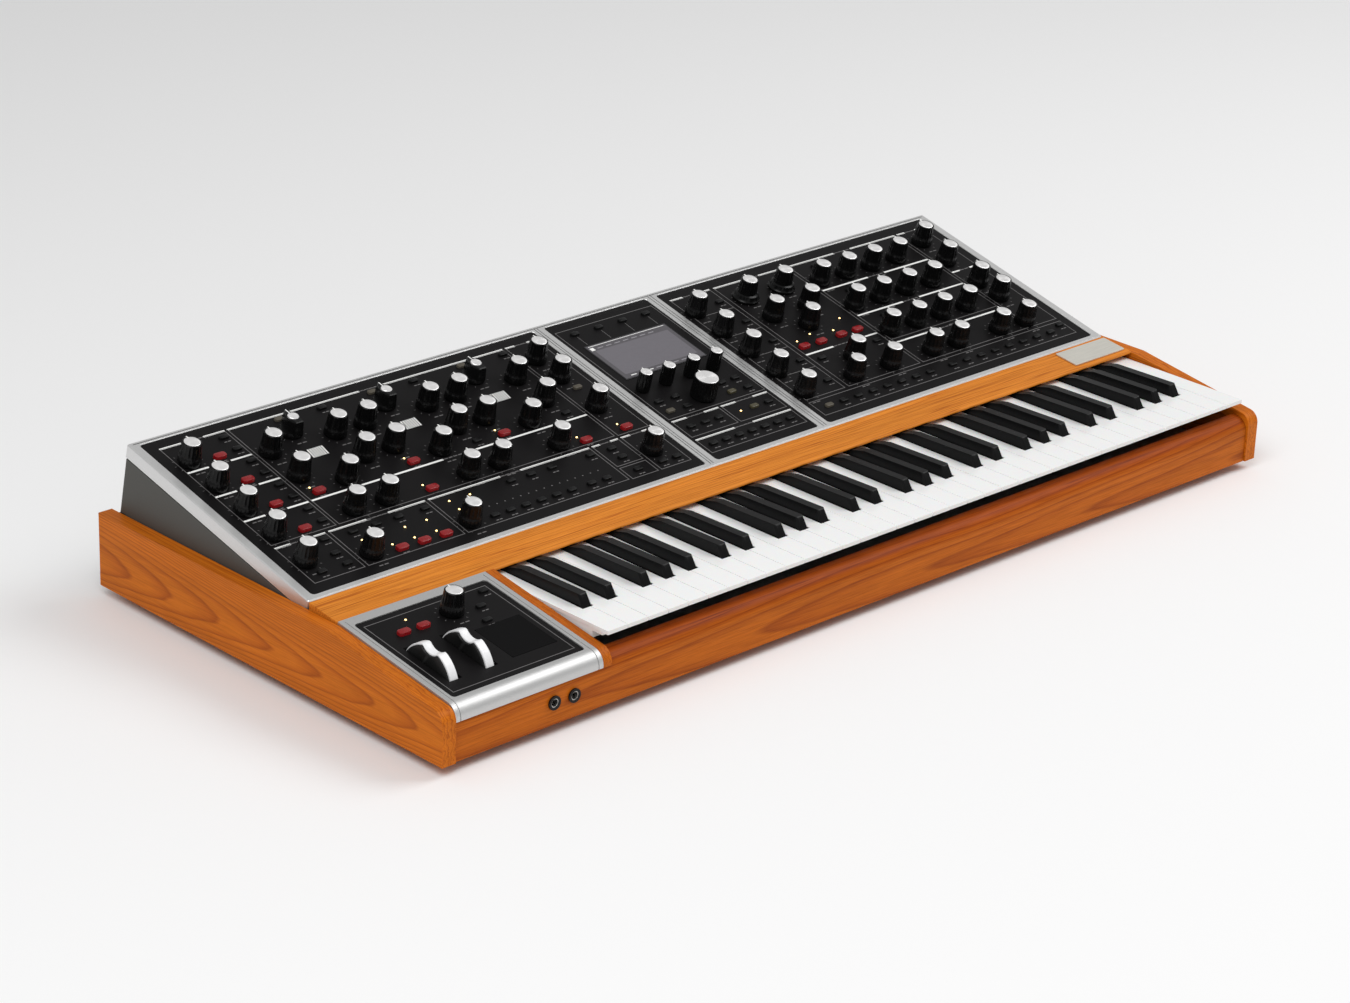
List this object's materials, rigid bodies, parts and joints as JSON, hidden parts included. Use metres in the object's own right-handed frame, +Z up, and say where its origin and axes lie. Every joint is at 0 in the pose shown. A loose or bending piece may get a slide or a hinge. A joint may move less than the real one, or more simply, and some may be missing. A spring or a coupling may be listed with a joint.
{
  "type": "analogue synthesizer",
  "caption": "Keyboard synthesizer with wooden cheeks and front rail, sloping knob panel in an aluminium frame, performance wheels, touch pad and piano-style keys.",
  "frame": {"origin": "under the middle of the case, on the surface the feet stand on", "axes": "+X to the player's right along the keys, +Y to the rear, +Z up"},
  "size_m": [1.05, 0.468, 0.1606],
  "materials": {
    "wood": "orange-brown clear lacquer over open straight grain",
    "aluminium": "satin anodised",
    "housing": "fine-textured dark grey-green powder coat",
    "sheet_steel": "satin black powder coat",
    "chassis": "plain zinc-plated sheet",
    "panel": "satin black with white print",
    "ivory": "white gloss",
    "ebony": "black satin",
    "knob": "black satin, silver cap",
    "wheel": "silver-white satin rim",
    "red": "translucent red",
    "screen": "clear window over a grey screen",
    "pad": "fine matte black",
    "board": "green solder mask",
    "rubber": "moulded black",
    "nickel": "bright nickel plate",
    "badge": "brushed plate"
  },
  "bodies": {
    "case": {"base_pan": "sheet_steel", "socket_plate": "sheet_steel", "left_cheek": "wood", "right_cheek": "wood", "front_rail": "wood", "key_strip": "wood", "key_block": "wood", "foot_front_left": "rubber", "foot_front_right": "rubber", "foot_rear_left": "rubber", "foot_rear_right": "rubber", "keybed": "chassis", "power_supply": "chassis", "main_board": "board", "panel_board": "board", "power_inlet": "knob", "headphone_jack_left": "nickel", "headphone_jack_right": "nickel", "housing": "housing", "panel_frame": "aluminium", "hand_panel": "aluminium", "left_panel": "panel", "centre_panel": "panel", "right_panel": "panel", "hand_plate": "panel", "display": "screen", "touch_pad": "pad", "badge": "badge"},
    "octave_1_white_keys": {"octave_1_white_keys": "ivory"},
    "octave_1_black_keys": {"octave_1_black_keys": "ebony"},
    "octave_2_white_keys": {"octave_2_white_keys": "ivory"},
    "octave_2_black_keys": {"octave_2_black_keys": "ebony"},
    "key_c": {"key_c": "ivory"},
    "key_d": {"key_d": "ivory"},
    "key_e": {"key_e": "ivory"},
    "key_f": {"key_f": "ivory"},
    "key_g": {"key_g": "ivory"},
    "key_a": {"key_a": "ivory"},
    "key_b": {"key_b": "ivory"},
    "key_c_sharp": {"key_c_sharp": "ebony"},
    "key_d_sharp": {"key_d_sharp": "ebony"},
    "key_f_sharp": {"key_f_sharp": "ebony"},
    "key_g_sharp": {"key_g_sharp": "ebony"},
    "key_a_sharp": {"key_a_sharp": "ebony"},
    "octave_4_white_keys": {"octave_4_white_keys": "ivory"},
    "octave_4_black_keys": {"octave_4_black_keys": "ebony"},
    "octave_5_white_keys": {"octave_5_white_keys": "ivory"},
    "octave_5_black_keys": {"octave_5_black_keys": "ebony"},
    "pitch_wheel": {"pitch_wheel": "wheel"},
    "mod_wheel": {"mod_wheel": "wheel"},
    "wave_knob": {"wave_knob": "knob"},
    "cutoff_knob": {"cutoff_knob": "knob"},
    "encoder_knob": {"encoder_knob": "knob"},
    "soft_knob_1": {"soft_knob_1": "knob"},
    "soft_knob_2": {"soft_knob_2": "knob"},
    "soft_knob_3": {"soft_knob_3": "knob"},
    "soft_knob_4": {"soft_knob_4": "knob"},
    "hand_knob": {"hand_knob": "knob"},
    "red_button": {"red_button": "red"},
    "power_switch": {"power_switch": "knob"}
  },
  "joints": [
    {"name": "octave_1_white_keys_press", "type": "hinge", "parent": "case", "child": "octave_1_white_keys", "pos_m": [0, -0.057, 0.063], "axis": [1, 0, 0], "range_deg": [0, 3.4], "stiffness_Nm_per_rad": 4.2, "springref_deg": -6.88},
    {"name": "octave_1_black_keys_press", "type": "hinge", "parent": "case", "child": "octave_1_black_keys", "pos_m": [0, -0.047, 0.07], "axis": [1, 0, 0], "range_deg": [0, 3.4], "stiffness_Nm_per_rad": 1.75, "springref_deg": -6.88},
    {"name": "octave_2_white_keys_press", "type": "hinge", "parent": "case", "child": "octave_2_white_keys", "pos_m": [0, -0.057, 0.063], "axis": [1, 0, 0], "range_deg": [0, 3.4], "stiffness_Nm_per_rad": 4.2, "springref_deg": -6.88},
    {"name": "octave_2_black_keys_press", "type": "hinge", "parent": "case", "child": "octave_2_black_keys", "pos_m": [0, -0.047, 0.07], "axis": [1, 0, 0], "range_deg": [0, 3.4], "stiffness_Nm_per_rad": 1.75, "springref_deg": -6.88},
    {"name": "key_c_press", "type": "hinge", "parent": "case", "child": "key_c", "pos_m": [0, -0.057, 0.063], "axis": [1, 0, 0], "range_deg": [0, 3.4], "stiffness_Nm_per_rad": 0.6, "springref_deg": -6.88},
    {"name": "key_d_press", "type": "hinge", "parent": "case", "child": "key_d", "pos_m": [0, -0.057, 0.063], "axis": [1, 0, 0], "range_deg": [0, 3.4], "stiffness_Nm_per_rad": 0.6, "springref_deg": -6.88},
    {"name": "key_e_press", "type": "hinge", "parent": "case", "child": "key_e", "pos_m": [0, -0.057, 0.063], "axis": [1, 0, 0], "range_deg": [0, 3.4], "stiffness_Nm_per_rad": 0.6, "springref_deg": -6.88},
    {"name": "key_f_press", "type": "hinge", "parent": "case", "child": "key_f", "pos_m": [0, -0.057, 0.063], "axis": [1, 0, 0], "range_deg": [0, 3.4], "stiffness_Nm_per_rad": 0.6, "springref_deg": -6.88},
    {"name": "key_g_press", "type": "hinge", "parent": "case", "child": "key_g", "pos_m": [0, -0.057, 0.063], "axis": [1, 0, 0], "range_deg": [0, 3.4], "stiffness_Nm_per_rad": 0.6, "springref_deg": -6.88},
    {"name": "key_a_press", "type": "hinge", "parent": "case", "child": "key_a", "pos_m": [0, -0.057, 0.063], "axis": [1, 0, 0], "range_deg": [0, 3.4], "stiffness_Nm_per_rad": 0.6, "springref_deg": -6.88},
    {"name": "key_b_press", "type": "hinge", "parent": "case", "child": "key_b", "pos_m": [0, -0.057, 0.063], "axis": [1, 0, 0], "range_deg": [0, 3.4], "stiffness_Nm_per_rad": 0.6, "springref_deg": -6.88},
    {"name": "key_c_sharp_press", "type": "hinge", "parent": "case", "child": "key_c_sharp", "pos_m": [0, -0.047, 0.07], "axis": [1, 0, 0], "range_deg": [0, 3.4], "stiffness_Nm_per_rad": 0.35, "springref_deg": -6.88},
    {"name": "key_d_sharp_press", "type": "hinge", "parent": "case", "child": "key_d_sharp", "pos_m": [0, -0.047, 0.07], "axis": [1, 0, 0], "range_deg": [0, 3.4], "stiffness_Nm_per_rad": 0.35, "springref_deg": -6.88},
    {"name": "key_f_sharp_press", "type": "hinge", "parent": "case", "child": "key_f_sharp", "pos_m": [0, -0.047, 0.07], "axis": [1, 0, 0], "range_deg": [0, 3.4], "stiffness_Nm_per_rad": 0.35, "springref_deg": -6.88},
    {"name": "key_g_sharp_press", "type": "hinge", "parent": "case", "child": "key_g_sharp", "pos_m": [0, -0.047, 0.07], "axis": [1, 0, 0], "range_deg": [0, 3.4], "stiffness_Nm_per_rad": 0.35, "springref_deg": -6.88},
    {"name": "key_a_sharp_press", "type": "hinge", "parent": "case", "child": "key_a_sharp", "pos_m": [0, -0.047, 0.07], "axis": [1, 0, 0], "range_deg": [0, 3.4], "stiffness_Nm_per_rad": 0.35, "springref_deg": -6.88},
    {"name": "octave_4_white_keys_press", "type": "hinge", "parent": "case", "child": "octave_4_white_keys", "pos_m": [0, -0.057, 0.063], "axis": [1, 0, 0], "range_deg": [0, 3.4], "stiffness_Nm_per_rad": 4.2, "springref_deg": -6.88},
    {"name": "octave_4_black_keys_press", "type": "hinge", "parent": "case", "child": "octave_4_black_keys", "pos_m": [0, -0.047, 0.07], "axis": [1, 0, 0], "range_deg": [0, 3.4], "stiffness_Nm_per_rad": 1.75, "springref_deg": -6.88},
    {"name": "octave_5_white_keys_press", "type": "hinge", "parent": "case", "child": "octave_5_white_keys", "pos_m": [0, -0.057, 0.063], "axis": [1, 0, 0], "range_deg": [0, 3.4], "stiffness_Nm_per_rad": 4.8, "springref_deg": -6.88},
    {"name": "octave_5_black_keys_press", "type": "hinge", "parent": "case", "child": "octave_5_black_keys", "pos_m": [0, -0.047, 0.07], "axis": [1, 0, 0], "range_deg": [0, 3.4], "stiffness_Nm_per_rad": 1.75, "springref_deg": -6.88},
    {"name": "pitch_wheel_turn", "type": "hinge", "parent": "case", "child": "pitch_wheel", "pos_m": [-0.4815, -0.16741, 0.05285], "axis": [1, 0, 0], "range_deg": [-30, 30], "stiffness_Nm_per_rad": 0.12},
    {"name": "mod_wheel_turn", "type": "hinge", "parent": "case", "child": "mod_wheel", "pos_m": [-0.4425, -0.16741, 0.05285], "axis": [1, 0, 0], "range_deg": [-35, 35]},
    {"name": "wave_knob_turn", "type": "hinge", "parent": "case", "child": "wave_knob", "pos_m": [-0.3649, 0.16448, 0.13748], "axis": [0, -0.2375, 0.9714], "range_deg": [-75, 75]},
    {"name": "cutoff_knob_turn", "type": "hinge", "parent": "case", "child": "cutoff_knob", "pos_m": [0.2045, 0.1637, 0.13729], "axis": [0, -0.2375, 0.9714], "range_deg": [-150, 150]},
    {"name": "encoder_knob_turn", "type": "hinge", "parent": "case", "child": "encoder_knob", "pos_m": [0.0365, 0.04947, 0.10936], "axis": [0, -0.2375, 0.9714], "continuous": true},
    {"name": "soft_knob_1_turn", "type": "hinge", "parent": "case", "child": "soft_knob_1", "pos_m": [-0.0111, 0.08211, 0.11734], "axis": [0, -0.2375, 0.9714], "range_deg": [-150, 150]},
    {"name": "soft_knob_2_turn", "type": "hinge", "parent": "case", "child": "soft_knob_2", "pos_m": [0.0188, 0.08211, 0.11734], "axis": [0, -0.2375, 0.9714], "range_deg": [-150, 150]},
    {"name": "soft_knob_3_turn", "type": "hinge", "parent": "case", "child": "soft_knob_3", "pos_m": [0.0507, 0.08211, 0.11734], "axis": [0, -0.2375, 0.9714], "range_deg": [-150, 150]},
    {"name": "soft_knob_4_turn", "type": "hinge", "parent": "case", "child": "soft_knob_4", "pos_m": [0.0808, 0.08211, 0.11734], "axis": [0, -0.2375, 0.9714], "range_deg": [-150, 150]},
    {"name": "hand_knob_turn", "type": "hinge", "parent": "case", "child": "hand_knob", "pos_m": [-0.417, -0.11809, 0.07656], "axis": [0, -0.149, 0.9888], "range_deg": [-150, 150]},
    {"name": "red_button_press", "type": "slide", "parent": "case", "child": "red_button", "axis": [0, 0.2375, -0.9714], "range_m": [0, 0.0012], "stiffness_N_per_m": 250, "springref_m": -0.001},
    {"name": "power_switch_rock", "type": "hinge", "parent": "case", "child": "power_switch", "pos_m": [0.38, 0.223, 0.045], "axis": [1, 0, 0], "range_deg": [-14, 0]}
  ]
}
